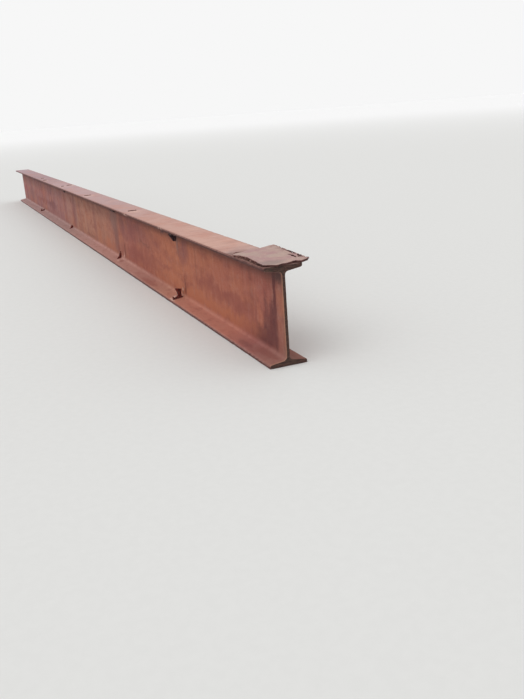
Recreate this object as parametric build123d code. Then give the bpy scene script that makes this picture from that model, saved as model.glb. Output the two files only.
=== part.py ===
from build123d import *
import math
import os

# A rusted hot-rolled steel I-beam with tapered flanges, resting on its bottom flange.
# Along it are the torn remains of what was once welded on: a plate over one end of the top
# flange, four cross stiffeners on one side of the web, and beads of weld across the top.
# Millimetres. X runs along the beam, Y across it and Z up. The origin is on the underside
# of the bottom flange, on the centre plane of the web, at mid-length. The end with the
# plate is the near end, at -X.

# Rolled section: the standard 340 mm beam with narrow, tapered flanges.
beam_length = 7000.0
section_height = 340.0
flange_width = 137.0
web_thickness = 12.2
flange_thickness = 18.3      # measured a quarter of the flange's width in from the toe
flange_slope = 0.14          # rise of a flange's inner face per millimetre across
root_radius = 12.2
toe_radius = 7.3

# Plate over the near end of the top flange.
plate_thickness = 9.0
plate_length = 326.0         # from its foremost point to its rear edge
plate_overshoot = 13.0       # of its foremost point past the beam's end face
plate_left_reach = 7.0       # past the flange's left toe, at the pointed rear corner
plate_overhang = 48.0        # past the flange's right toe, where it was burnt off
plate_tip_inset = 68.0       # of the pointed corner, forward of the rear edge
plate_bite = 15.0            # torn out of its two right corners
burn_pitch = 21.0            # of the scallops along the burnt edge
burn_depth = 5.0
burn_phase = 2.4             # from one scallop to the next, in radians, so they differ

# The plate's torn edges. The near one goes from left to right and the rear one from right to
# left: the depth torn away behind the foremost point or ahead of the rear edge, and the place
# across as a share of half the flange's width. The left one goes from the rear forward: the
# share of the plate's length, and the same share across.
plate_near_edge = [
    (25.0, 0.94), (11.0, 0.58), (0.0, 0.39), (8.0, 0.09), (11.0, -0.26), (19.0, -0.71), (5.0, -0.92),
]
plate_rear_edge = [(13.0, -0.80), (33.0, -0.36), (19.0, -0.16), (29.0, 0.20), (49.0, 0.51), (34.0, 0.89)]
plate_left_edge = [(0.70, 0.89), (0.45, 0.86), (0.22, 0.96)]

# Cross stiffeners, cut away between the flanges. Only their corners are left.
stiffener_thickness = 9.0

# Weld beads across the top flange.
bead_width = 11.0
bead_height = 4.5

# What is left of each stiffener, from the near end: its place as a share of the beam's
# length, then its torn outline below, on the bottom flange, and above, under the top one.
# An outline starts on the flange, ends on the web or the flange, and is a list of shares of
# the flange's outreach from the web, and of the clear height between the flanges.
stiffener_remains = [
    (
        0.158,
        [
            (0.90, 0.0), (0.93, 0.05), (0.85, 0.05), (0.79, 0.02), (0.60, 0.035), (0.52, 0.055),
            (0.55, 0.10), (0.68, 0.166), (0.17, 0.134), (0.22, 0.07), (0.20, 0.025), (0.12, 0.0),
        ],
        [
            (0.74, 0.0), (0.70, 0.045), (0.56, 0.09), (0.42, 0.135), (0.24, 0.14),
            (0.14, 0.06), (0.10, 0.0),
        ],
    ),
    (
        0.333,
        [(0.50, 0.0), (0.26, 0.052), (0.14, 0.132), (0.0, 0.13)],
        [(0.66, 0.0), (0.60, 0.03), (0.43, 0.062), (0.15, 0.088), (0.06, 0.05), (0.05, 0.0)],
    ),
    (
        0.566,
        [(0.50, 0.0), (0.30, 0.035), (0.24, 0.085), (0.10, 0.062), (0.0, 0.06)],
        [(0.68, 0.0), (0.64, 0.037), (0.48, 0.076), (0.29, 0.053), (0.27, 0.0)],
    ),
    (
        0.786,
        [(0.72, 0.0), (0.61, 0.04), (0.52, 0.07), (0.38, 0.082), (0.42, 0.027), (0.0, 0.05)],
        None,
    ),
]

# Each weld bead: its place as a share of the beam's length, and its two ends as shares of
# half the flange's width, the left side positive.
bead_places = [
    (0.273, 0.50, -0.23),
    (0.438, 0.73, -0.03),
    (0.579, 0.60, 0.28),
    (0.585, -0.12, -0.76),
    (0.704, 0.90, 0.34),
    (0.745, 0.57, 0.13),
]

half_flange = flange_width / 2
half_web = web_thickness / 2
near_end = -beam_length / 2
outreach = half_flange - half_web


def flange_depth(across):
    """Thickness of a flange at a distance from the web's centre plane."""
    return flange_thickness + flange_slope * (flange_width / 4 - across)


root_depth = flange_depth(half_web)
toe_depth = flange_depth(half_flange)
clear_height = section_height - 2 * root_depth


def i_section():
    """Rolled section: one quarter with its root and toe rounded, mirrored twice."""
    quarter = Polyline(
        (0, 0),
        (half_flange, 0),
        (half_flange, toe_depth),
        (half_web, root_depth),
        (half_web, section_height / 2),
        (0, section_height / 2),
        close=True,
    )
    face = make_face(quarter)
    for corner, radius in (
        ((half_flange, toe_depth), toe_radius),
        ((half_web, root_depth), root_radius),
    ):
        vertex = face.vertices().sort_by_distance((*corner, 0))[0]
        face = fillet(vertex, radius)
    bottom = face + mirror(face, Plane.YZ)
    return bottom + mirror(bottom, Plane.XZ.offset(-section_height / 2))


def beam():
    section = Plane.YZ.offset(near_end) * i_section()
    return extrude(section, amount=beam_length, dir=(1, 0, 0))


def burnt_edge(start, end):
    """Points of an edge scalloped by a cutting torch, from start to end."""
    along = Vector(*end) - Vector(*start)
    inward = along.rotate(Axis.Z, 90).normalized()
    count = max(2, round(along.length / burn_pitch))
    points = []
    for step in range(1, count):
        depth = burn_depth * (step % 2) * (1 + math.sin(burn_phase * step)) / 2
        point = Vector(*start) + along * (step / count) + inward * depth
        points.append((point.X, point.Y))
    return points


def cover_plate():
    """Plate on the top flange's near end, with a burnt right edge and torn others."""
    front = near_end - plate_overshoot
    rear = front + plate_length
    left = half_flange + plate_left_reach
    right = -half_flange - plate_overhang
    front_right = (front + 2 * plate_bite, right + plate_bite)
    rear_right = (rear + plate_bite, right)
    outline = [(front + depth, share * half_flange) for depth, share in plate_near_edge]
    outline += [front_right, *burnt_edge(front_right, rear_right), rear_right]
    outline += [(rear - depth, share * half_flange) for depth, share in plate_rear_edge]
    outline.append((rear - plate_tip_inset, left))
    outline += [(front + along * plate_length, share * half_flange) for along, share in plate_left_edge]
    plan = make_face(Polyline(*outline, close=True))
    return extrude(Pos(0, 0, section_height) * plan, amount=plate_thickness)


def stiffener_remnant(place, torn, on_top):
    """A corner of a cross stiffener, which fits the beam's left side along its root."""
    def point(out, up):
        across = half_web + out * outreach
        height = flange_depth(across) + up * clear_height
        return (across, section_height - height if on_top else height)

    outline = [point(out, up) for out, up in torn]
    if torn[-1][0] == 0:
        outline.append(point(0, 0))
    profile = make_face(Polyline(*outline, close=True)) - i_section()
    station = near_end + place * beam_length - stiffener_thickness / 2
    return extrude(Plane.YZ.offset(station) * profile, amount=stiffener_thickness, dir=(1, 0, 0))


def weld_bead(place, left_share, right_share):
    """A low round bead lying across the top flange."""
    profile = make_face(
        Line((-bead_width / 2, 0), (bead_width / 2, 0))
        + ThreePointArc((bead_width / 2, 0), (0, bead_height), (-bead_width / 2, 0))
    )
    start = Plane(
        origin=(near_end + place * beam_length, right_share * half_flange, section_height),
        x_dir=(-1, 0, 0),
        z_dir=(0, 1, 0),
    )
    return extrude(start * profile, amount=(left_share - right_share) * half_flange)


nodes = {"beam": beam(), "cover_plate": cover_plate()}
for number, (place, foot, head) in enumerate(stiffener_remains, start=1):
    nodes[f"stiffener_foot_{number}"] = stiffener_remnant(place, foot, on_top=False)
    if head:
        nodes[f"stiffener_head_{number}"] = stiffener_remnant(place, head, on_top=True)
for number, bead_place in enumerate(bead_places, start=1):
    nodes[f"weld_bead_{number}"] = weld_bead(*bead_place)

os.makedirs("parts", exist_ok=True)
for name, shape in nodes.items():
    export_step(shape, f"parts/{name}.step")
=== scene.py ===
import math
import random

import bmesh
import bpy
from mathutils import Matrix, Vector, noise
from mathutils.bvhtree import BVHTree
from mathutils.geometry import delaunay_2d_cdt


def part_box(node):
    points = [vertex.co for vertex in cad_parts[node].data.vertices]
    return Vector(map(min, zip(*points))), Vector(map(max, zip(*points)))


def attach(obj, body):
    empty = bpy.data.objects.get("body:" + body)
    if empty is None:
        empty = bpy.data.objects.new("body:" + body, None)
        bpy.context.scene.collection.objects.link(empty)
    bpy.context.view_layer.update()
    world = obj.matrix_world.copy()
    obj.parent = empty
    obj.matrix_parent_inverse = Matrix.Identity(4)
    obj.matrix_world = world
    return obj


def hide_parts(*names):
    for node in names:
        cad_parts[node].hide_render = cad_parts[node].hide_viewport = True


# A rusted steel I-beam with the torn remains of what was once welded to it, dressed around
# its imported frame. Everything is in metres. The beam runs along X with its near end, the one
# under the torn plate, at the low end of X. The camera sees its left side, +Y. Places along
# the beam are measured from its near end.

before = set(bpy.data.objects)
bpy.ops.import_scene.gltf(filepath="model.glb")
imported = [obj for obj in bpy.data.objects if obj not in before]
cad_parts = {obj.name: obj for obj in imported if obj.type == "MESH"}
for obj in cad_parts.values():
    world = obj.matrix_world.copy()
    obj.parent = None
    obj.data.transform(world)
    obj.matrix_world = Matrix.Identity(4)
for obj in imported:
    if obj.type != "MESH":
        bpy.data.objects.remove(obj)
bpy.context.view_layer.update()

# The rolled section. Its outer sizes come from the frame.
beam_low, beam_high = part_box("beam")
NEAR_X = beam_low.x
LENGTH = beam_high.x - beam_low.x
HEIGHT = beam_high.z
HALF_FLANGE = beam_high.y
HALF_WEB = 0.0061
FLANGE_THICKNESS = 0.0183
FLANGE_SLOPE = 0.14
ROOT_RADIUS = 0.0122
TOE_RADIUS = 0.0073
EDGE_RADIUS = 0.0009
END_ROUNDING = 0.0022

# Gashes in the plate: points along and across, and a width.
PLATE_CRACKS = [
    ([(0.205, -0.0985), (0.172, -0.1035), (0.140, -0.0995), (0.104, -0.0960)], 0.0085),
    ([(0.100, -0.1000), (0.074, -0.0925), (0.046, -0.0945)], 0.0078),
    ([(0.120, -0.0735), (0.094, -0.0765), (0.072, -0.0745), (0.048, -0.0715)], 0.0082),
    ([(0.250, -0.1000), (0.236, -0.1060), (0.218, -0.1040)], 0.0048),
    ([(0.070, -0.0850), (0.056, -0.0830), (0.040, -0.0860)], 0.0042),
]

FEET = [f"stiffener_foot_{number}" for number in range(1, 5)]
HEADS = [f"stiffener_head_{number}" for number in range(1, 4)]
BEADS = [f"weld_bead_{number}" for number in range(1, 7)]
SCARS = [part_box(foot)[side].x for foot in FEET for side in (0, 1)]   # on the web, beside each foot

# Camera: the photograph's own view, solved from the beam's edges.
PHOTO_HEIGHT = 699
FOCAL_PIXELS = 758.4
SENSOR_MM = 36
CAMERA_FROM_NEAR_END = (-2.1737, 0.9831, 0.8205)
CAMERA_YAW = math.radians(-22.27)
CAMERA_PITCH = math.radians(17.612)
CAMERA_ROLL = math.radians(4.088)


def linear_colour(shown):
    """A colour as it displays, (red, green, blue) from 0 to 255, as a shader's linear colour."""
    def linear(value):
        value /= 255
        return value / 12.92 if value <= 0.04045 else ((value + 0.055) / 1.055) ** 2.4
    return (*map(linear, shown), 1.0)


def flange_depth(across):
    """Thickness of a flange at a distance from the web's centre plane."""
    return FLANGE_THICKNESS + FLANGE_SLOPE * (HALF_FLANGE / 2 - across)


def grain(point, scale, octaves=3):
    """Rough noise of about -1 to 1 at a point, with scale its grains per metre."""
    return noise.fractal(Vector(point) * scale, 0.8, 2.1, octaves)


def smooth(value, low, high):
    """A soft rise from 0 to 1 as value goes from low to high."""
    share = min(1.0, max(0.0, (value - low) / (high - low)))
    return share * share * (3 - 2 * share)


# Mesh tools


def around(ring):
    """Each item of a closed ring with the one after it."""
    return list(zip(ring, ring[1:] + ring[:1]))


def add_object(name, data):
    """A new object in the scene."""
    made = bpy.data.objects.new(name, data)
    bpy.context.scene.collection.objects.link(made)
    return made


def new_piece(name, mesh, slot, *materials, sharp_degrees=35.0):
    """A mesh object with smooth faces, which rides on the beam's body."""
    shaped = bmesh.new()
    shaped.from_mesh(mesh)
    bmesh.ops.recalc_face_normals(shaped, faces=shaped.faces)
    shaped.to_mesh(mesh)
    shaped.free()
    for face in mesh.polygons:
        face.use_smooth = True
    mesh.set_sharp_from_angle(angle=math.radians(sharp_degrees))
    for material in materials:
        mesh.materials.append(material)
    piece = add_object(name, mesh)
    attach(piece, "root")
    return piece


def mesh_from(name, shaped):
    """A mesh datablock from a bmesh, which is freed."""
    mesh = bpy.data.meshes.new(name)
    shaped.to_mesh(mesh)
    shaped.free()
    return mesh


def node_shape(node):
    """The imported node's solid as a bmesh, with its split corners joined again."""
    shaped = bmesh.new()
    shaped.from_mesh(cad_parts[node].data)
    joined_within = 1e-5
    bmesh.ops.remove_doubles(shaped, verts=shaped.verts, dist=joined_within)
    return shaped


def modified(name, shaped, kind, **settings):
    """A bmesh as a mesh after one modifier."""
    holder = add_object(name + "_holder", mesh_from(name + "_holder", shaped))
    modifier = holder.modifiers.new(kind.lower(), kind)
    for key, value in settings.items():
        setattr(modifier, key, value)
    graph = bpy.context.evaluated_depsgraph_get()
    result = bpy.data.meshes.new_from_object(holder.evaluated_get(graph))
    result.name = name
    bpy.data.objects.remove(holder)
    return result


def add_lump(shaped, centre, size):
    """A rough blob: centre and size are (x, y, z)."""
    unevenness, spread = 0.28, 90
    made = bmesh.ops.create_icosphere(shaped, subdivisions=2, radius=1.0)
    for vertex in made["verts"]:
        swell = 1 + unevenness * grain(vertex.co + Vector(centre) * spread, 1.4, 2)
        scaled = Vector([part * side for part, side in zip(vertex.co, size)])
        vertex.co = Vector(centre) + scaled * swell


def join_rings(shaped, first, second):
    """Faces between two rings with as many points."""
    for (a, b), (c, d) in zip(around(first), around(second)):
        shaped.faces.new((a, b, d, c))


def drop_loose(shaped):
    """Deletes what would float: whatever doesn't touch what hangs together with the first face."""
    shaped.faces.ensure_lookup_table()
    shaped.faces.index_update()
    tree = BVHTree.FromBMesh(shaped)
    touching = {}
    for first, second in tree.overlap(tree):
        touching.setdefault(first, set()).add(second)
        touching.setdefault(second, set()).add(first)
    held = {0}
    waiting = [0]
    while waiting:
        number = waiting.pop()
        near = {face.index for edge in shaped.faces[number].edges for face in edge.link_faces}
        fresh = (near | touching.get(number, set())) - held
        held |= fresh
        waiting.extend(fresh)
    loose = [face for face in shaped.faces if face.index not in held]
    bmesh.ops.delete(shaped, geom=loose, context="FACES")


def roughened(mesh, depth, scale):
    """Moves each point of a mesh along its normal by noise up to a depth."""
    normals = [vertex.normal.copy() for vertex in mesh.vertices]
    for vertex, normal in zip(mesh.vertices, normals):
        vertex.co += normal * depth * grain(vertex.co, scale, 4)


# The rolled beam


def rounded_loop(corners):
    """Points of a closed loop. A corner is (y, z, radius, arc steps, spacing after it)."""
    arcs = []
    for index, (y, z, radius, steps, spacing) in enumerate(corners):
        here = Vector((y, z))
        before = (here - Vector(corners[index - 1][:2])).normalized()
        after = (Vector(corners[(index + 1) % len(corners)][:2]) - here).normalized()
        turn = before.angle_signed(after)
        side = Vector((before.y, -before.x)) * math.copysign(1, turn)
        centre = here - before * radius * math.tan(abs(turn) / 2) + side * radius
        swings = [Matrix.Rotation(-turn * step / steps, 2) for step in range(steps + 1)]
        arcs.append(([centre - swing @ side * radius for swing in swings], spacing))
    points = []
    for (arc, spacing), (following, _) in around(arcs):
        points.extend(arc)
        start, end = arc[-1], following[0]
        count = max(1, round((end - start).length / spacing))
        points.extend(start.lerp(end, step / count) for step in range(1, count))
    return points


def section_loop():
    """The I-section's outline, finer on the side and top that the camera sees."""
    fine, middling, coarse = 0.007, 0.009, 0.016
    toe, root = flange_depth(HALF_FLANGE), flange_depth(HALF_WEB)
    left = [
        (HALF_FLANGE, 0, EDGE_RADIUS, 1, fine),
        (HALF_FLANGE, toe, TOE_RADIUS, 4, fine),
        (HALF_WEB, root, ROOT_RADIUS, 5, middling),
        (HALF_WEB, HEIGHT - root, ROOT_RADIUS, 5, fine),
        (HALF_FLANGE, HEIGHT - toe, TOE_RADIUS, 4, fine),
        (HALF_FLANGE, HEIGHT, EDGE_RADIUS, 1, fine),
    ]
    most_steps = 3
    right = [(-y, z, radius, min(steps, most_steps), coarse) for y, z, radius, steps, _ in left[::-1]]
    return rounded_loop(left + right)


def stations():
    """Places along the beam, closest at the near end and where the stiffeners were."""
    near_step, growth = 0.0045, 0.0026
    even = [0.0]
    while even[-1] < LENGTH:
        even.append(even[-1] + near_step + growth * even[-1])
    even = [place * LENGTH / even[-1] for place in even]
    first_ring, last_ring = 0.001, 0.002
    fixed = [0.0, first_ring, END_ROUNDING, LENGTH - last_ring, LENGTH]
    fine_step, reach = 0.0022, 5
    for scar in SCARS:
        fixed.extend(scar - NEAR_X + fine_step * step for step in range(-reach, reach + 1))
    clear, least_gap = 0.003, 0.0009
    kept = [place for place in even if min(abs(place - other) for other in fixed) > clear]
    merged = sorted(kept + fixed)
    return [place for index, place in enumerate(merged)
            if index == 0 or place - merged[index - 1] > least_gap]


def scar_height(spot):
    """How far the web stands proud where a stiffener's weld was cut away."""
    width, proud, reach = 0.0028, 0.0008, 2.5
    height = 0.0
    for scar in SCARS:
        offset = (spot.x - scar) / width
        if abs(offset) < reach:
            height += math.exp(-offset * offset) * (0.4 + 0.9 * grain(spot, 110, 2))
    return proud * height


def toe_wear(spot):
    """How far the edge of a flange is nicked or built up at a point."""
    reach, scale_depth, nick_depth, nick_from = 0.006, 0.0005, 0.0030, 0.28
    at_toe = max(0.0, 1 - (HALF_FLANGE - abs(spot.y)) / reach)
    side = math.copysign(5, spot.y) + (3.7 if spot.z > HEIGHT / 2 else 9.1)
    nick = noise.fractal(Vector((spot.x * 26, side, 0)), 0.9, 2.2, 4)
    scale = noise.noise(Vector((spot.x * 90, spot.z * 150, side)))
    return at_toe * (scale_depth * scale - nick_depth * max(0.0, nick - nick_from))


def cut_relief(across, up):
    """How far a flame-cut end stands out or in at a point."""
    depth = 0.0009
    return depth * grain((0.3, across, up), 130)


def inner_points():
    """Evenly spaced points inside the I-section."""
    spacing, clearance = 0.003, 0.002
    points = []
    columns = round(HALF_FLANGE / spacing)
    for row in range(1, round(HEIGHT / spacing)):
        up = row * spacing
        from_face = min(up, HEIGHT - up)
        for column in range(-columns, columns + 1):
            across = column * spacing
            in_web = abs(across) < HALF_WEB - clearance
            over_toe = abs(across) < HALF_FLANGE - TOE_RADIUS
            in_flange = over_toe and clearance < from_face < flange_depth(abs(across)) - clearance
            if in_web or in_flange:
                points.append(Vector((across, up)))
    return points


def add_cap(vertices, faces, loop, ring, along):
    """Closes an end whose ring of points starts at number ring in vertices."""
    edges = around(list(range(len(loop))))
    inside_only, tolerance = 1, 1e-6
    placed, _, triangles, sources, _, _ = delaunay_2d_cdt(
        loop + inner_points(), edges, [], inside_only, tolerance)
    numbers = []
    for point, source in zip(placed, sources):
        if source and source[0] < len(loop):
            numbers.append(ring + source[0])
        else:
            numbers.append(len(vertices))
            vertices.append(Vector((along + cut_relief(point.x, point.y), point.x, point.y)))
    faces.extend([numbers[corner] for corner in triangle] for triangle in triangles)


# The beam's materials, in the order that its mesh holds them.
SIDE, TOP, EDGE, CUT, UNDER = range(5)


def outward_directions(loop):
    """The direction out of the section at each point of its outline."""
    directions = []
    for index in range(len(loop)):
        along = loop[(index + 1) % len(loop)] - loop[index - 1]
        directions.append(Vector((0, along.y, -along.x)).normalized())
    return directions


def worn_point(place, point, away):
    """A point of the section at a place along the beam, moved by relief and wear."""
    relief, worn_corner = 0.00028, 0.0011
    end_distance = min(place, LENGTH - place)
    spot = Vector((NEAR_X + place, point.x, point.y))
    depth = relief * grain((spot.x * 0.6, spot.y, spot.z), 58)
    depth -= worn_corner * (1 - smooth(end_distance, 0, END_ROUNDING))
    depth += toe_wear(spot)
    on_left_of_web = away.y > 0.95 and spot.y < 0.02
    if on_left_of_web:
        depth += scar_height(spot)
    if end_distance == 0:
        spot.x += cut_relief(spot.y, spot.z)
    spot += away * depth
    spot.z = max(spot.z, 0.0)
    return spot


def beam_slot(face):
    """Which of the beam's materials a face takes."""
    facing = 0.6
    beside_toe = abs(face.center.y) > HALF_FLANGE - 0.0025
    if abs(face.normal.x) > facing:
        return CUT
    if face.normal.z > facing and face.center.z > HEIGHT / 2:
        return TOP
    if beside_toe and abs(face.normal.y) > facing:
        return EDGE
    if face.normal.z < -facing and face.center.z < HEIGHT / 2:
        return UNDER
    return SIDE


def beam_body(materials):
    """The rolled beam with its worn surface and its roughly cut ends."""
    loop = section_loop()
    size = len(loop)
    outward = outward_directions(loop)
    places = stations()
    vertices = [worn_point(place, *pair) for place in places for pair in zip(loop, outward)]
    faces = []
    for row in range(len(places) - 1):
        for column in range(size):
            a, b = row * size + column, row * size + (column + 1) % size
            faces.append((a, b, b + size, a + size))
    add_cap(vertices, faces, loop, 0, NEAR_X)
    add_cap(vertices, faces, loop, (len(places) - 1) * size, NEAR_X + LENGTH)
    mesh = bpy.data.meshes.new("rolled_beam")
    mesh.from_pydata(vertices, [], faces)
    body = new_piece("rolled_beam", mesh, "beam_rust", *materials, sharp_degrees=38)
    for face in mesh.polygons:
        face.material_index = beam_slot(face)
    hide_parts("beam")


# The torn plate over the near end

PLATE_LOW, PLATE_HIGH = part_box("cover_plate")
PLATE_BASE, PLATE_TOP = PLATE_LOW.z, PLATE_HIGH.z
PLATE_LEFT, PLATE_RIGHT = PLATE_HIGH.y, PLATE_LOW.y
PLATE_SPLIT = PLATE_BASE + 0.0046   # the height between its two sheets


def plate_outline():
    """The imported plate's outline in plan, from the rim of its top face."""
    shaped = node_shape("cover_plate")
    shaped.faces.ensure_lookup_table()
    is_top = {face.index: face.normal.z > 0.9 for face in shaped.faces}
    following = {}
    for face in shaped.faces:
        for loop in face.loops:
            if is_top[face.index] and not all(is_top[near.index] for near in loop.edge.link_faces):
                following[loop.vert.index] = loop.link_loop_next.vert.index
    shaped.verts.ensure_lookup_table()
    first = min(following, key=lambda index: tuple(shaped.verts[index].co))
    order = [first]
    while following[order[-1]] != first:
        order.append(following[order[-1]])
    outline = [shaped.verts[index].co.xy.copy() for index in order]
    shaped.free()
    return outline


def torn_rim(outline, spacing, tear, seed, inset=0.0):
    """The outline at even spacing, with each point moved out or in by noise."""
    even = []
    for corner, following in around(outline):
        count = max(1, round((following - corner).length / spacing))
        even.extend(corner.lerp(following, step / count) for step in range(count))
    rim = []
    for index, point in enumerate(even):
        along = (even[(index + 2) % len(even)] - even[index - 2]).normalized()
        inward = Vector((-along.y, along.x))
        chips = grain((point.x, point.y, seed), 70, 4)
        rim.append(point + inward * (inset + tear(point) * chips))
    return rim


def add_lamina(shaped, rim, middle, low, high, rings, seed):
    """A sheet inside a rim, between two heights that are functions of place."""
    crowding, bulge = 0.75, 0.0007
    count = len(rim)
    surfaces = []
    for height in (high, low):
        centre = shaped.verts.new((middle.x, middle.y, height(middle)))
        rows = []
        for ring in range(1, rings + 1):
            share = (ring / rings) ** crowding
            spots = [middle.lerp(point, share) for point in rim]
            rows.append([shaped.verts.new((spot.x, spot.y, height(spot))) for spot in spots])
        for index in range(count):
            beside = (index + 1) % count
            shaped.faces.new((centre, rows[0][index], rows[0][beside]))
            for inner, outer in zip(rows, rows[1:]):
                shaped.faces.new((inner[index], outer[index], outer[beside], inner[beside]))
        surfaces.append(rows[-1])
    top, bottom = surfaces
    wall = [top]
    for share in (0.33, 0.67):
        level = []
        for index in range(count):
            spot = top[index].co.lerp(bottom[index].co, share)
            out = (spot.xy - middle).normalized() * bulge
            out *= grain((spot.x, spot.y, seed + share), 160)
            level.append(shaped.verts.new((spot.x + out.x, spot.y + out.y, spot.z)))
        wall.append(level)
    wall.append(bottom)
    for upper, lower in zip(wall, wall[1:]):
        for (a, b), (c, d) in zip(around(upper), around(lower)):
            shaped.faces.new((a, c, d, b))


def add_flake(shaped, chance, centre, size):
    """A thin scale of rust with a ragged edge, tilted a little."""
    most_lean, most_pitch = 0.45, 0.30
    corners = chance.randint(6, 9)
    tilt = Matrix.Rotation(chance.uniform(-most_lean, most_lean), 3, "X")
    tilt @= Matrix.Rotation(chance.uniform(-most_pitch, most_pitch), 3, "Y")
    thickness = chance.uniform(0.0005, 0.0011)
    rings = []
    for level in (-0.5, 0.5):
        ring = []
        for corner in range(corners):
            angle = 2 * math.pi * corner / corners
            reach = size * (0.7 + 0.3 * math.sin(3 * angle + centre.x * 900))
            spot = Vector((1.5 * reach * math.cos(angle), reach * math.sin(angle), level * thickness))
            ring.append(shaped.verts.new(centre + tilt @ spot))
        rings.append(ring)
    shaped.faces.new(rings[1])
    shaped.faces.new(rings[0][::-1])
    join_rings(shaped, *rings)


def crack_side(path, width, hand):
    """The ragged edge of a crack along a path, on the side that hand, 1 or -1, gives."""
    blunt_end, fullness, raggedness = 0.15, 0.6, 0.7
    side = []
    for index, point in enumerate(path):
        share = index / (len(path) - 1)
        before, after = path[max(0, index - 1)], path[min(len(path) - 1, index + 1)]
        along = (after - before).normalized()
        aside = Vector((-along.y, along.x))
        half = width / 2 * (blunt_end + math.sin(math.pi * share) ** fullness)
        ragged = half * (1 + raggedness * grain((point.x, point.y, hand), 150, 2))
        side.append(point + aside * hand * ragged)
    return side


def crack_cutter(cracks, low, high):
    """Prisms that cut the cracks. A crack is a list of (along, across) points and a width."""
    steps = 7
    shaped = bmesh.new()
    for points, width in cracks:
        path = []
        for start, end in zip(points, points[1:]):
            path.extend(Vector(start).lerp(Vector(end), step / steps) for step in range(steps))
        path.append(Vector(points[-1]))
        ring = crack_side(path, width, 1) + crack_side(path, width, -1)[::-1]
        ends = [[shaped.verts.new((NEAR_X + spot.x, spot.y, height)) for spot in ring]
                for height in (low, high)]
        for index in range(len(path) - 1):
            mirror = len(ring) - 1 - index
            for level in ends:
                shaped.faces.new((level[index], level[index + 1], level[mirror - 1], level[mirror]))
        join_rings(shaped, *ends)
    bmesh.ops.recalc_face_normals(shaped, faces=shaped.faces)
    return mesh_from("crack_cutter", shaped)


def edge_place(rim, along):
    """How far across the rim's right edge lies at a place along the beam."""
    right = [point for point in rim if point.y < -HALF_FLANGE]
    return min(right, key=lambda point: abs(point.x - NEAR_X - along)).y


def sheet_lift(spot):
    """The rise of the upper sheet's lip on the left, and the dip of its tip and near edge."""
    lip_rise, tip_dip, near_dip = 0.0017, 0.0012, 0.0026
    along = spot.x - NEAR_X
    near_left = smooth(spot.y, 0.028, 0.058)
    lip = near_left * smooth(along, 0.02, 0.09) * (1 - smooth(along, 0.15, 0.21))
    tip = near_left * smooth(along, 0.18, 0.23)
    droop = (1 - smooth(along, -0.012, 0.035)) * smooth(spot.y, -0.09, 0.0)
    return lip_rise * lip - tip_dip * tip - near_dip * droop


def upper_high(spot):
    waves = 0.0006
    return PLATE_TOP + sheet_lift(spot) + waves * grain((spot.x, spot.y, 1.7), 45)


def upper_low(spot):
    thickness, thinned, relief = 0.0042, 0.0018, 0.0004
    thin = thickness - thinned * smooth(spot.y, 0.02, PLATE_LEFT)
    return upper_high(spot) - thin + relief * grain((spot.x, spot.y, 5.1), 120)


def lower_high(spot):
    overlap, wear, dip = 0.0003, 0.0020, 0.0012
    near_left = smooth(spot.y, 0.030, 0.062)
    worn = wear * near_left * (0.6 + 0.9 * grain((spot.x, spot.y, 8.3), 95))
    beyond_end = 1 - smooth(spot.x - NEAR_X, -0.010, 0.0)
    return PLATE_SPLIT + overlap - worn - dip * beyond_end


def lower_low(spot):
    clearance = 0.0001
    return PLATE_BASE + clearance


def upper_tear(spot):
    """How ragged the upper sheet's rim is: most on the left, at the front and on the right."""
    everywhere, left, front, right = 0.0010, 0.0022, 0.0012, 0.0013
    on_left = smooth(spot.y, 0.03, 0.06)
    at_front = 1 - smooth(spot.x - NEAR_X, 0.0, 0.05)
    on_right = 1 - smooth(spot.y, PLATE_RIGHT, PLATE_RIGHT + 0.03)
    return everywhere + left * on_left + front * at_front + right * on_right


def lower_tear(spot):
    everywhere, left = 0.0010, 0.0034
    return everywhere + left * smooth(spot.y, 0.02, 0.06)


def upper_sheet(rim, middle):
    """The upper sheet with its gashes, as a bmesh of clean triangles."""
    rings, seed = 34, 1.0
    below_sheet, above_sheet, sliver = 0.002, 0.01, 2e-5
    sheet = bmesh.new()
    add_lamina(sheet, rim, middle, upper_low, upper_high, rings, seed)
    bmesh.ops.recalc_face_normals(sheet, faces=sheet.faces)
    prisms = crack_cutter(PLATE_CRACKS, PLATE_SPLIT - below_sheet, PLATE_TOP + above_sheet)
    cutter = add_object("crack_cutter", prisms)
    cut = modified("upper_sheet", sheet, "BOOLEAN",
                   object=cutter, operation="DIFFERENCE", solver="EXACT")
    bpy.data.objects.remove(cutter)
    shaped = bmesh.new()
    shaped.from_mesh(cut)
    bmesh.ops.triangulate(shaped, faces=shaped.faces)
    bmesh.ops.dissolve_degenerate(shaped, dist=sliver, edges=shaped.edges)
    bmesh.ops.triangulate(shaped, faces=shaped.faces)
    drop_loose(shaped)
    return shaped


def add_flakes(shaped, chance):
    """Scales of rust between the two sheets, along the left edge."""
    count, above_base, under_sheet = 280, 0.0012, 0.0008
    for _ in range(count):
        along = chance.uniform(0.015, 0.235)
        size = chance.uniform(0.0014, 0.0046)
        spot = Vector((NEAR_X + along, chance.uniform(0.050, 0.0655)))
        up = chance.uniform(PLATE_BASE + above_base, upper_low(spot) - under_sheet)
        add_flake(shaped, chance, spot.to_3d() + Vector((0, 0, up)), size)


def add_dross(shaped, rim, chance):
    """Lumps of burnt metal along the right edge."""
    count, start, length, wander = 70, 0.025, 0.295, 0.003
    for index in range(count):
        along = start + length * index / (count - 1) + chance.uniform(-wander, wander)
        size = chance.uniform(0.0014, 0.0032)
        spot = (NEAR_X + along, edge_place(rim, along) + chance.uniform(0, 0.002),
                PLATE_BASE + chance.uniform(0.0005, 0.0085))
        add_lump(shaped, spot, (size * 1.3, size * 0.8, size * chance.uniform(0.7, 1.2)))


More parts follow.
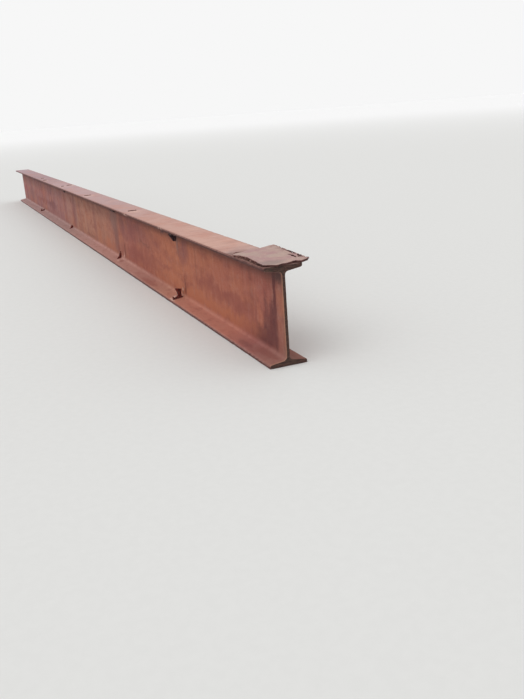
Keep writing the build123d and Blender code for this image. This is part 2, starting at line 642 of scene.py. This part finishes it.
def add_tip_weld(shaped, chance):
    """A short curved run of weld on the plate's pointed corner."""
    start, bend, end = Vector((0.262, 0.068)), Vector((0.281, 0.052)), Vector((0.262, 0.034))
    count, radius, sunk, wander = 26, 0.0022, 0.0014, 0.0004
    for index in range(count):
        share = index / (count - 1)
        spot = start.lerp(bend, share).lerp(bend.lerp(end, share), share)
        size = radius * (0.5 + math.sin(math.pi * share)) * chance.uniform(0.7, 1.1)
        centre = (NEAR_X + spot.x, spot.y, PLATE_TOP - sunk + chance.uniform(-wander, wander))
        add_lump(shaped, centre, (size, size * 1.3, size * 0.9))


def torn_plate(materials):
    """The plate, split by rust into an upper sheet with a raised lip and a broken lower one."""
    outline = plate_outline()
    middle = Vector(((PLATE_LOW.x + PLATE_HIGH.x) / 2, -0.02))
    rim = torn_rim(outline, 0.0024, upper_tear, 2.2)
    lower_rim = torn_rim(outline, 0.0030, lower_tear, 6.1, inset=0.0030)
    shaped = upper_sheet(rim, middle)
    rings, seed = 24, 4.0
    add_lamina(shaped, lower_rim, middle, lower_low, lower_high, rings, seed)
    sheet_faces = len(shaped.faces)
    chance = random.Random(7)
    add_flakes(shaped, chance)
    add_dross(shaped, rim, chance)
    add_tip_weld(shaped, chance)
    drop_loose(shaped)
    plate = new_piece("torn_plate", mesh_from("torn_plate", shaped), "plate_rust", *materials)
    for face in plate.data.polygons:
        outer = face.center.z > PLATE_SPLIT + 0.0015 and face.normal.z > 0.5
        face.material_index = 0 if outer and face.index < sheet_faces else 1
    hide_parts("cover_plate")


# Remains of the stiffeners, and the weld beads


def weld_run(shaped, start, end, radius, chance):
    """Lumps of weld in a row from start to end."""
    spacing, wander = 1.1, 0.2   # in radii
    start, end = Vector(start), Vector(end)
    count = max(2, round((end - start).length / (radius * spacing)))
    for step in range(count + 1):
        spot = start.lerp(end, step / count)
        spot += Vector([chance.uniform(-wander, wander) * radius for _ in range(3)])
        size = radius * chance.uniform(0.8, 1.25)
        add_lump(shaped, spot, (size, size, size))


def remnant(node, materials, seed):
    """What is left of a stiffener: its torn and pitted corner, with its welds."""
    low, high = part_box(node)
    chance = random.Random(seed)
    shaped = node_shape(node)
    on_top = low.z > HEIGHT / 2
    near_web = [vertex.co.z for vertex in shaped.verts if vertex.co.y < HALF_WEB + 0.0005]
    radius = 0.0026
    clear_of_root = HALF_WEB + ROOT_RADIUS * 0.7
    inner, outer = max(low.y, clear_of_root), high.y - radius

    def on_flange(across):
        depth = flange_depth(across)
        return HEIGHT - depth if on_top else depth

    foot_of_web = flange_depth(HALF_WEB) + ROOT_RADIUS * 0.8
    for side in (low.x, high.x):
        ends = [(side, across, on_flange(across)) for across in (inner, outer)]
        weld_run(shaped, *ends, radius, chance)
        if near_web:
            weld_run(shaped, (side, HALF_WEB, foot_of_web),
                     (side, HALF_WEB, max(near_web) - radius), radius, chance)
    mesh = modified(node + "_torn", shaped, "REMESH", mode="VOXEL", voxel_size=0.0010)
    roughened(mesh, depth=0.0007, scale=260)
    roughened(mesh, depth=0.0005, scale=700)
    piece = new_piece(node + "_torn", mesh, "remnant_rust", *materials, sharp_degrees=50)
    for face in piece.data.polygons:
        face.material_index = 1 if face.normal.y > 0.65 and not on_top else 0
    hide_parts(node)


def bead(node, material, seed):
    """A weld bead: a row of flattened lumps that run into each other."""
    low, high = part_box(node)
    chance = random.Random(seed)
    width, length = high.x - low.x, high.y - low.y
    middle = (low.x + high.x) / 2
    spacing, sway, sunk = 0.30, 0.0012, 0.0004
    shaped = bmesh.new()
    count = round(length / (width * spacing))
    for step in range(count + 1):
        across = low.y + width / 2 + (length - width) * step / count
        wander = sway * math.sin(2.1 * step + seed)
        size = width / 2 * chance.uniform(0.78, 1.08)
        rise = (high.z - low.z) * chance.uniform(0.80, 1.05)
        add_lump(shaped, (middle + wander, across, low.z - sunk), (size, size * 0.9, rise))
    mesh = modified(node + "_lumps", shaped, "REMESH", mode="VOXEL", voxel_size=0.0008)
    roughened(mesh, depth=0.0004, scale=500)
    piece = new_piece(node + "_lumps", mesh, "bead_rust", material, sharp_degrees=60)
    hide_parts(node)


# Materials

ALONG, ACROSS, UP = range(3)   # directions


class Nodes:
    """A node tree whose nodes are each made, set and linked in one call."""

    def __init__(self, tree):
        self.tree = tree

    def feed(self, node, values):
        """Links or sets a node's inputs: values has their names or numbers."""
        for key, value in values.items():
            if isinstance(value, bpy.types.NodeSocket):
                self.tree.links.new(value, node.inputs[key])
            else:
                node.inputs[key].default_value = value

    def node(self, kind, values, **settings):
        made = self.tree.nodes.new("ShaderNode" + kind)
        for key, value in settings.items():
            setattr(made, key, value)
        self.feed(made, values)
        return made

    def math(self, operation, *values):
        return self.node("Math", dict(enumerate(values)), operation=operation).outputs[0]


class Graph(Nodes):
    """A material's nodes, with the places and patterns that rust is made of."""

    def __init__(self, name):
        self.material = bpy.data.materials.new(name)
        self.material.use_nodes = True
        super().__init__(self.material.node_tree)
        self.shader = self.tree.nodes["Principled BSDF"]
        self.feed(self.shader, {"Specular IOR Level": 0.25})
        self.place = self.node("TexCoord", {}).outputs["Object"]
        split = self.node("SeparateXYZ", {0: self.place}).outputs
        self.across, self.up = split[1], split[2]
        self.along = self.math("SUBTRACT", split[0], NEAR_X)

    def product(self, *factors):
        result = factors[0]
        for factor in factors[1:]:
            result = self.math("MULTIPLY", result, factor)
        return result

    def length(self, vector):
        return self.node("VectorMath", {0: vector}, operation="LENGTH").outputs["Value"]

    def noise(self, scale, detail, roughness=0.55, shift=0.0, stretch=(1, 1, 1)):
        """Noise from 0 to 1, with scale its grains per metre before it is stretched."""
        location = (shift, shift * 0.7, shift * 1.3)
        placed = self.node("Mapping", {"Vector": self.place, "Scale": stretch, "Location": location})
        made = self.node("TexNoise", {"Vector": placed.outputs[0], "Scale": scale,
                                      "Detail": detail, "Roughness": roughness})
        return made.outputs["Fac"]

    def step(self, value, low, high, start=0.0, end=1.0):
        """A smooth change from start to end as value goes from low to high."""
        values = {"Value": value, "From Min": low, "From Max": high, "To Min": start, "To Max": end}
        return self.node("MapRange", values, interpolation_type="SMOOTHSTEP").outputs["Result"]

    def band(self, value, low, high, soft):
        """1 between low and high, falling to 0 over the soft distance outside."""
        rise, fall = self.step(value, low - soft, low), self.step(value, high, high + soft, 1, 0)
        return self.product(rise, fall)

    def ramp(self, value, stops):
        """Colours along a value, given as (value, colour) stops."""
        low, high = stops[0][0], stops[-1][0]
        scaled = self.math("DIVIDE", self.math("SUBTRACT", value, low), high - low)
        made = self.node("ValToRGB", {"Fac": scaled})
        elements = made.color_ramp.elements
        while len(elements) < len(stops):
            elements.new(0.5)
        for element, (place, colour) in zip(elements, stops):
            element.position = (place - low) / (high - low)
            element.color = linear_colour(colour)
        return made.outputs["Color"]

    def mix(self, factor, *colours):
        """Two colours mixed, each a socket or a colour as it displays."""
        first, second = (linear_colour(colour) if isinstance(colour, tuple) else colour
                         for colour in colours)
        return self.node("Mix", {"Factor": factor, 6: first, 7: second}, data_type="RGBA").outputs[2]

    def cover(self, colour, mask, low, high, strength, over):
        """A second colour laid on where a mask is high."""
        return self.mix(self.step(mask, low, high, 0.0, strength), colour, over)

    def layers(self, colour, *layers):
        """Colours laid on in turn. A layer is noise's settings, then the (low, high, strength,
        colour) of each colour that it lays on."""
        for settings, *rows in layers:
            mask = self.noise(*settings)
            for low, high, strength, over in rows:
                colour = self.cover(colour, mask, low, high, strength, over)
        return colour

    def ragged_place(self):
        """Wandering (along, across, up), and noise about 0 that roughens a stain's edge."""
        drips = self.noise(38.0, 5, 0.65, 21.0, (1, 1, 0.22))
        clouds = self.noise(14.0, 4, 0.6, 31.0)
        along = self.math("ADD", self.along, self.step(drips, 0.2, 0.8, -0.010, 0.010))
        up = self.math("ADD", self.up, self.step(clouds, 0.2, 0.8, -0.030, 0.030))
        place = self.node("CombineXYZ", {0: along, 1: self.across, 2: up}).outputs[0]
        ragged = self.math("MULTIPLY_ADD", clouds, 1.1, self.product(drips, 0.9))
        return place, self.math("SUBTRACT", ragged, 1.0)

    def stain_or_shade(self, colour, ragged_place, beside, sizes, over, strength):
        """A soft oval patch. Its sizes are its middle along and beside, which is ACROSS or UP,
        and half its extent in each."""
        place, ragged = ragged_place
        shares, offset = [0.0] * 3, [0.0] * 3
        for direction, middle, half in zip((ALONG, beside), sizes[:2], sizes[2:]):
            shares[direction] = 1 / half
            offset[direction] = -shares[direction] * middle
        scaled = self.node("VectorMath", {0: place, 1: shares, 2: offset}, operation="MULTIPLY_ADD")
        distance = self.math("ADD", self.length(scaled.outputs[0]), ragged)
        return self.cover(colour, distance, 1.45, 0.45, strength, over)

    def crust(self, colour, depth=0.0010, grains=420.0, dark=0.40, pale=0.30):
        """Pits and crumbs of rust over a colour, with bump to match, as the finished material."""
        crumbs = self.noise(grains, 3, 0.6, 3.1)
        colour = self.cover(colour, crumbs, 0.56, 0.74, pale, (216, 168, 140))
        pits = self.noise(grains * 0.6, 4, 0.65, 7.7)
        colour = self.cover(colour, pits, 0.56, 0.72, dark, (70, 40, 38))
        swells = self.noise(grains * 0.16, 5, 0.6, 1.9)
        height = self.math("MULTIPLY_ADD", crumbs, 0.45, self.product(swells, 0.8))
        height = self.math("MULTIPLY_ADD", pits, -0.45, height)
        bump = self.node("Bump", {"Strength": 0.6, "Distance": depth, "Height": height})
        dullness = self.step(pits, 0.35, 0.65, 0.95, 0.78)
        self.feed(self.shader, {"Base Color": colour, "Roughness": dullness, "Normal": bump.outputs[0]})
        return self.material


# Colours of the rust, as they display.
ORANGE = (178, 108, 80)
RED_ORANGE = (160, 92, 80)
TAN = (170, 118, 98)
MAUVE = (158, 110, 108)
BRICK = (138, 76, 68)
DARK_BRICK = (108, 58, 52)
PLUM = (120, 74, 78)
DARK_PLUM = (84, 38, 42)
SMOKE = (92, 51, 53)
SHADE = (88, 60, 58)
UMBER = (96, 62, 54)
GREY_DRIP = (132, 100, 94)
PALE_DRIP = (178, 142, 128)
PALE_RIM = (164, 122, 100)
PALE_SCRAPE = (218, 180, 166)

# Stains on the left side of the web, with painted shade in the first row: the middle along the beam and
# up, half the length and half the height, the colour and how strongly it covers.
WEB_STAINS_AND_SHADE = [
    # Painted shade under the plate, at the top of the web's near end.
    (0.020, 0.305, 0.050, 0.028, SHADE, 0.80),
    (0.068, 0.270, 0.009, 0.110, DARK_PLUM, 0.75),
    (0.074, 0.110, 0.018, 0.120, DARK_PLUM, 0.55),
    (0.125, 0.100, 0.060, 0.100, SMOKE, 0.62),
    (0.105, 0.130, 0.020, 0.080, DARK_PLUM, 0.40),
    (0.170, 0.055, 0.070, 0.040, SMOKE, 0.50),
    (0.235, 0.050, 0.070, 0.030, SMOKE, 0.35),
    (0.245, 0.110, 0.007, 0.045, BRICK, 0.60),
    (0.030, 0.268, 0.004, 0.006, DARK_PLUM, 0.80),
    (0.330, 0.060, 0.080, 0.030, BRICK, 0.30),
    (0.450, 0.130, 0.180, 0.035, BRICK, 0.45),
    (0.620, 0.135, 0.120, 0.022, BRICK, 0.45),
    (0.820, 0.135, 0.140, 0.030, BRICK, 0.40),
    (0.750, 0.060, 0.450, 0.024, ORANGE, 0.70),
    (1.030, 0.250, 0.050, 0.055, PLUM, 0.50),
    (1.085, 0.220, 0.040, 0.060, PLUM, 0.40),
    (1.135, 0.265, 0.014, 0.055, GREY_DRIP, 0.65),
    (1.072, 0.075, 0.015, 0.045, DARK_PLUM, 0.60),
    (1.118, 0.046, 0.010, 0.010, PALE_SCRAPE, 0.70),
    (1.345, 0.292, 0.060, 0.012, (76, 62, 70), 0.75),
    (1.450, 0.130, 0.150, 0.014, BRICK, 0.40),
    (1.320, 0.125, 0.080, 0.012, BRICK, 0.35),
    (1.750, 0.100, 0.200, 0.050, BRICK, 0.50),
    (2.000, 0.090, 0.150, 0.040, BRICK, 0.45),
    (1.720, 0.175, 0.150, 0.012, UMBER, 0.35),
    (1.950, 0.220, 0.400, 0.060, PLUM, 0.35),
    (2.215, 0.085, 0.018, 0.050, DARK_BRICK, 0.60),
    (2.262, 0.090, 0.012, 0.035, BRICK, 0.55),
    (2.255, 0.042, 0.025, 0.010, PALE_SCRAPE, 0.55),
    (2.430, 0.245, 0.110, 0.085, GREY_DRIP, 0.65),
    (2.230, 0.240, 0.070, 0.070, PLUM, 0.45),
    (2.400, 0.140, 0.055, 0.085, (128, 86, 80), 0.70),
    (2.365, 0.080, 0.030, 0.035, BRICK, 0.60),
    (2.620, 0.065, 0.140, 0.030, ORANGE, 0.45),
    (3.200, 0.050, 0.140, 0.015, UMBER, 0.30),
    (3.440, 0.275, 0.020, 0.018, BRICK, 0.70),
    (3.800, 0.170, 0.090, 0.120, PLUM, 0.50),
    (3.860, 0.100, 0.030, 0.070, BRICK, 0.40),
    (4.950, 0.125, 0.250, 0.035, PLUM, 0.65),
    (5.500, 0.120, 0.350, 0.020, BRICK, 0.60),
    (5.450, 0.190, 0.250, 0.035, RED_ORANGE, 0.45),
    (6.300, 0.130, 0.250, 0.055, (138, 96, 92), 0.55),
    (6.800, 0.150, 0.220, 0.035, (160, 92, 94), 0.50),
]

# Marks on the bottom flange: the middle along and across, half the length and half the width,
# the colour and how strongly it covers.
FLANGE_STAINS = [
    (0.110, 0.030, 0.080, 0.018, BRICK, 0.45),
    (0.270, 0.045, 0.070, 0.014, SMOKE, 0.30),
    (1.150, 0.034, 0.028, 0.012, PALE_SCRAPE, 0.90),
    (1.118, 0.062, 0.026, 0.008, PALE_SCRAPE, 0.85),
    (1.560, 0.050, 0.120, 0.016, BRICK, 0.45),
    (2.275, 0.040, 0.028, 0.010, PALE_SCRAPE, 0.50),
    (2.240, 0.030, 0.030, 0.012, BRICK, 0.50),
]


def web_colour(graph, ragged):
    """Mottled orange brown, duller far away, with the left side's stains and painted shade under the
    top flange.
    """
    colour = graph.ramp(graph.along, [
        (0.0, (128, 84, 74)), (0.03, (148, 96, 84)), (0.13, RED_ORANGE), (1.2, ORANGE),
        (2.0, RED_ORANGE), (2.8, TAN), (3.6, TAN), (4.4, MAUVE), (7.0, MAUVE)])
    patches = ((4.5, 5, 0.60, 0.0, (1, 1, 1.6)), (0.42, 0.70, 0.60, ORANGE))
    smears = ((8.0, 6, 0.65, 11.0, (1, 1, 2.5)), (0.44, 0.74, 0.60, BRICK))
    mottle = ((45.0, 5, 0.65, 17.0, (1, 1, 0.6)),
              (0.48, 0.72, 0.28, DARK_BRICK), (0.50, 0.28, 0.22, PALE_DRIP))
    grit = ((170.0, 4, 0.60, 13.0), (0.52, 0.68, 0.22, UMBER), (0.46, 0.30, 0.20, PALE_DRIP))
    streaks = ((30.0, 4, 0.55, 5.0, (1, 1, 0.08)),
               (0.50, 0.76, 0.26, UMBER), (0.46, 0.26, 0.16, PALE_DRIP))
    colour = graph.layers(colour, patches, smears, mottle, grit, streaks)
    runs = graph.noise(9.0, 5, 0.6, 25.0, (1, 1, 0.14))
    far = graph.step(graph.along, 2.4, 3.6)
    colour = graph.mix(graph.product(graph.step(runs, 0.50, 0.66), far, 0.55), colour, PLUM)
    colour = graph.mix(graph.product(graph.step(runs, 0.46, 0.32), far, 0.30), colour, PALE_DRIP)

    plain = graph.mix(0.35, colour, (128, 96, 86))
    for *sizes, over, strength in WEB_STAINS_AND_SHADE:
        colour = graph.stain_or_shade(colour, ragged, UP, sizes, over, strength)
    # Painted shade on the web under the top flange, reaching lower far along the beam.
    painted_shade_under_top = graph.step(graph.up, 0.255, 0.305, 0.0, 0.72)
    far_painted_shade = graph.product(graph.step(graph.up, 0.19, 0.26), graph.step(graph.along, 1.3, 2.2), 0.28)
    return graph.mix(graph.math("MAXIMUM", painted_shade_under_top, far_painted_shade), colour, SHADE), plain


def low_flange_colour(graph, ragged):
    """The bottom flange's upper face: paler, with its own marks."""
    colour = graph.ramp(graph.along, [
        (0.0, (152, 108, 98)), (0.25, (158, 100, 94)), (0.45, (184, 120, 104)),
        (1.0, (188, 126, 108)), (1.3, (184, 132, 114)), (1.6, (172, 120, 108)),
        (2.0, (186, 138, 126)), (3.0, (190, 146, 138)), (4.0, (174, 142, 136)),
        (7.0, (178, 148, 146))])
    colour = graph.layers(colour, ((16.0, 6, 0.65, 2.0, (1, 2, 1)),
                                   (0.48, 0.72, 0.45, BRICK), (0.46, 0.28, 0.30, PALE_DRIP)))
    for *sizes, over, strength in FLANGE_STAINS:
        colour = graph.stain_or_shade(colour, ragged, ACROSS, sizes, over, strength)
    return colour


def side_rust():
    """The web and the flanges' inner faces, with a pale rim at the near end."""
    graph = Graph("side_rust")
    ragged = graph.ragged_place()
    colour, plain = web_colour(graph, ragged)
    colour = graph.cover(colour, graph.up, 0.046, 0.022, 0.9, low_flange_colour(graph, ragged))
    colour = graph.cover(colour, graph.along, 0.011, 0.001, 0.55, PALE_RIM)
    colour = graph.cover(plain, graph.across, 0.0, 0.001, 1.0, colour)
    return graph.crust(colour, dark=0.34, pale=0.22)


def top_rust():
    """The top flange's outer face: pale rust, its paleness partly dust and partly a painted reflection
    of the sky, with fine stripes across it and painted shade beside the plate.
    """
    graph = Graph("top_rust")
    # These pale colours are partly dust and partly a painted reflection of the sky on this upward face.
    colour = graph.ramp(graph.along, [
        (0.30, (184, 154, 148)), (0.50, (206, 164, 150)), (1.3, (200, 158, 146)),
        (2.3, (190, 158, 156)), (4.3, (190, 160, 162)), (5.0, (170, 142, 146)),
        (7.0, (180, 156, 162))])
    patches = ((8.0, 5, 0.6, 4.0), (0.44, 0.70, 0.50, (196, 140, 124)))
    stripes = ((58.0, 4, 0.6, 8.0, (1, 0.12, 1)),
               (0.50, 0.68, 0.40, (160, 122, 116)), (0.46, 0.32, 0.35, (222, 188, 172)))
    colour = graph.layers(colour, patches, stripes)
    ragged = graph.ragged_place()
    behind_plate = (0.35, 0.02, 0.030, 0.035)
    colour = graph.stain_or_shade(colour, ragged, ACROSS, behind_plate, (140, 110, 108), 0.3)
    for low, high in map(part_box, BEADS):
        sizes = (low.x - NEAR_X - 0.030, (low.y + high.y) / 2, 0.045, (high.y - low.y) / 2 + 0.010)
        colour = graph.stain_or_shade(colour, ragged, ACROSS, sizes, (224, 190, 176), 0.45)
    # Painted shade on the top flange beside and behind the plate.
    plate_shade = graph.product(graph.band(graph.along, 0.0, 0.330, 0.012),
                                graph.step(graph.along, 0.23, 0.27, 0.75, 0.55),
                                graph.step(graph.across, 0.040, 0.052, 0.6, 1.0))
    colour = graph.mix(plate_shade, colour, UMBER)
    from_middle = graph.math("ABSOLUTE", graph.across)
    colour = graph.cover(colour, from_middle, HALF_FLANGE - 0.010, HALF_FLANGE, 0.4, (150, 108, 98))
    return graph.crust(colour, grains=520, dark=0.35, pale=0.2)


def edge_rust():
    """The flanges' toes: dark, flaking rust, its darkness partly painted shade, with a painted
    highlight along each upper rim and more painted shade on the top flange's rounded lower edge.
    """
    graph = Graph("edge_rust")
    flakes = graph.noise(60.0, 6, 0.65, 0.0, (1, 1, 2.5))
    mixed = graph.step(flakes, 0.38, 0.64)
    dark = graph.mix(mixed, (108, 72, 68), (78, 48, 48))
    light = graph.mix(mixed, (156, 112, 104), (116, 80, 76))
    # Painted highlights along the upper rim of each toe.
    top_rim_highlight = graph.product(graph.step(graph.up, 0.3315, 0.3360),
                            graph.step(graph.along, 0.15, 0.45, 0.35, 1.0))
    low_rim_highlight = graph.band(graph.up, 0.0090, 0.0200, 0.0030)
    colour = graph.mix(graph.math("MAXIMUM", top_rim_highlight, low_rim_highlight), dark, light)
    colour = graph.cover(colour, graph.along, 2.5, 6.0, 0.5, (136, 106, 108))
    # Painted shade on the top flange's rounded lower edge, strongest towards the near end.
    lower_edge_painted_shade = graph.product(graph.band(graph.up, 0.3285, 0.3325, 0.0020),
                             graph.step(graph.along, 1.4, 5.0, 0.45, 0.10))
    colour = graph.mix(lower_edge_painted_shade, colour, (58, 36, 36))
    ragged = graph.ragged_place()
    scrapes = ((1.165, 0.330), (1.840, 0.334))
    for scrape in scrapes:
        colour = graph.stain_or_shade(colour, ragged, UP, (*scrape, 0.045, 0.007), PALE_SCRAPE, 0.6)
    return graph.crust(colour, grains=500)


def plate_rust():
    """The torn plate's upper face: dusty, with warmer and darker patches."""
    graph = Graph("plate_rust")
    patches = ((16.0, 5, 0.6), (0.36, 0.62, 1.0, (178, 142, 140)))
    dust = ((40.0, 5, 0.65, 6.0), (0.50, 0.68, 0.45, (202, 172, 154)))
    colour = graph.layers((184, 158, 148), patches, dust)
    seam = graph.step(graph.across, -0.070, -0.110)
    broken = graph.noise(70.0, 5, 0.7, 16.0)
    torn = graph.product(seam, graph.step(broken, 0.46, 0.56), 0.75)
    colour = graph.mix(torn, colour, (120, 72, 66))
    colour = graph.cover(colour, graph.across, 0.045, 0.075, 0.5, (158, 128, 128))
    near_corner = (0.030, 0.030, 0.030, 0.045)
    colour = graph.stain_or_shade(colour, graph.ragged_place(), ACROSS, near_corner, (148, 128, 124), 0.7)
    return graph.crust(colour, depth=0.0014, grains=480, dark=0.4, pale=0.25)


def scale_rust():
    """Broken edges of the plate: layered dark rust, its darkness partly painted shade."""
    graph = Graph("scale_rust")
    layers = graph.noise(90.0, 5, 0.65, 0.0, (1, 1, 7.0))
    # These dark colours are partly painted shade on the plate's edges.
    colour = graph.cover((104, 68, 64), layers, 0.40, 0.60, 1.0, (54, 33, 35))
    under_lip = graph.cover((142, 94, 86), layers, 0.42, 0.58, 1.0, (70, 44, 44))
    flecks = graph.noise(120.0, 3, 0.6, 9.0, (1, 1, 3.0))
    under_lip = graph.cover(under_lip, flecks, 0.54, 0.62, 0.75, (184, 146, 138))
    on_left = graph.product(graph.step(graph.across, 0.035, 0.050), graph.step(graph.along, 0.05, 0.08))
    colour = graph.mix(on_left, colour, under_lip)
    return graph.crust(colour, depth=0.0016, grains=700, dark=0.45, pale=0.3)


def plain_rust(name, base, *layers, **crust):
    """A base colour under layers of others."""
    graph = Graph(name)
    return graph.crust(graph.layers(base, *layers), **crust)


def cut_rust():
    """The flame-cut ends: dark, with the drag lines of the cut."""
    drag = ((170.0, 4, 0.6, 0.0, (1, 0.25, 1)), (0.38, 0.64, 1.0, (56, 40, 38)))
    grime = ((30.0, 5, 0.55, 14.0), (0.46, 0.68, 0.5, (70, 62, 52)))
    return plain_rust("cut_rust", (84, 61, 54), drag, grime, grains=600, dark=0.3, pale=0.15)


def under_rust():
    """The bottom flange's underside: dark damp rust."""
    damp = ((12.0, 6, 0.6), (0.38, 0.62, 1.0, (76, 48, 44)))
    return plain_rust("under_rust", (112, 70, 60), damp)


def remnant_rust(name, light, dark, specks):
    """The stiffeners' torn corners: dark and mottled."""
    patches = ((110.0, 5, 0.7), (0.42, 0.58, 1.0, dark))
    flecks = ((140.0, 4, 0.6, 4.0), (0.55, 0.63, 0.70, specks))
    return plain_rust(name, light, patches, flecks, depth=0.0014, grains=700, dark=0.35, pale=0.15)


def torn_edge_rust():
    """The edges where the lower corners tore away: paler."""
    patches = ((150.0, 5, 0.65), (0.42, 0.62, 1.0, (136, 82, 74)))
    return plain_rust("torn_edge_rust", (196, 150, 138), patches, grains=700, dark=0.3, pale=0.2)


def bead_rust():
    """The weld beads: dark brown, mottled with a darker brown."""
    patches = ((120.0, 5, 0.65), (0.40, 0.60, 1.0, (78, 50, 48)))
    return plain_rust("bead_rust", (112, 74, 68), patches, grains=800, dark=0.4, pale=0.2)


# Surroundings


def floor():
    """A plain pale floor, which brightens to the background far from the beam."""
    mesh = bpy.data.meshes.new("floor")
    reach = 150.0
    corners = [(-reach, -reach, 0), (reach, -reach, 0), (reach, reach, 0), (-reach, reach, 0)]
    mesh.from_pydata(corners, [], [(0, 1, 2, 3)])
    ground = add_object("floor", mesh)
    graph = Graph("floor_grey")
    specks = graph.noise(40.0, 3)
    near = graph.cover((228, 228, 226), specks, 0.3, 0.7, 0.25, (222, 222, 220))
    far = graph.step(graph.length(graph.place), 5.0, 45.0)
    graph.feed(graph.shader, {"Base Color": graph.mix(far, near, (251, 251, 251)),
                              "Roughness": graph.step(specks, 0.3, 0.7, 0.85, 0.95)})
    mesh.materials.append(graph.material)


def sky():
    """Even light, with a plain pale background for the camera and in reflections."""
    world = bpy.data.worlds.new("soft_sky")
    bpy.context.scene.world = world
    world.use_nodes = True
    graph = Nodes(world.node_tree)
    light, output = graph.tree.nodes["Background"], graph.tree.nodes["World Output"]
    graph.feed(light, {"Color": (1.0, 1.0, 1.0, 1.0), "Strength": 0.80})
    seen = graph.node("Background", {"Color": linear_colour((247, 247, 247))})
    rays = graph.node("LightPath", {}).outputs
    shown = rays["Is Camera Ray"]
    for ray in ("Is Glossy Ray", "Is Transmission Ray"):
        shown = graph.math("MAXIMUM", shown, rays[ray])
    choose = graph.node("MixShader", {0: shown, 1: light.outputs[0], 2: seen.outputs[0]})
    graph.feed(output, {"Surface": choose.outputs[0]})


def soft_sun():
    """A broad, weak lamp from above and behind the camera's left shoulder."""
    lamp = bpy.data.lights.new("soft_sun", "SUN")
    lamp.energy = 0.7
    lamp.angle = math.radians(50)
    sun = add_object("soft_sun", lamp)
    sun.rotation_euler = Vector((-0.35, 0.75, 1.0)).to_track_quat("Z", "Y").to_euler()


def camera():
    """The photograph's viewpoint."""
    flat, down = math.cos(CAMERA_PITCH), math.sin(CAMERA_PITCH)
    forward = Vector((math.cos(CAMERA_YAW) * flat, math.sin(CAMERA_YAW) * flat, -down))
    level = Vector((math.sin(CAMERA_YAW), -math.cos(CAMERA_YAW), 0))
    right = math.cos(CAMERA_ROLL) * level + math.sin(CAMERA_ROLL) * forward.cross(level)
    turn = Matrix((right, right.cross(forward), -forward)).transposed().to_4x4()
    lens = bpy.data.cameras.new("photo_view")
    lens.sensor_width = SENSOR_MM
    lens.lens = FOCAL_PIXELS * SENSOR_MM / PHOTO_HEIGHT
    lens.clip_end = 500
    view = add_object("photo_view", lens)
    place = Vector(CAMERA_FROM_NEAR_END) + Vector((NEAR_X, 0, 0))
    view.matrix_world = Matrix.Translation(place) @ turn
    bpy.context.scene.camera = view


bpy.context.scene.view_settings.view_transform = "Standard"
camera()
floor()
sky()
soft_sun()
beam_body([side_rust(), top_rust(), edge_rust(), cut_rust(), under_rust()])
torn_plate([plate_rust(), scale_rust()])
foot_material = remnant_rust("foot_rust", (118, 48, 44), (62, 28, 28), (150, 84, 74))
head_material = remnant_rust("head_rust", (74, 50, 54), (42, 34, 42), (168, 154, 156))
edge_material, bead_material = torn_edge_rust(), bead_rust()
for number, name in enumerate(FEET + HEADS):
    remnant(name, [foot_material if name in FEET else head_material, edge_material], number)
for number, name in enumerate(BEADS):
    bead(name, bead_material, number)
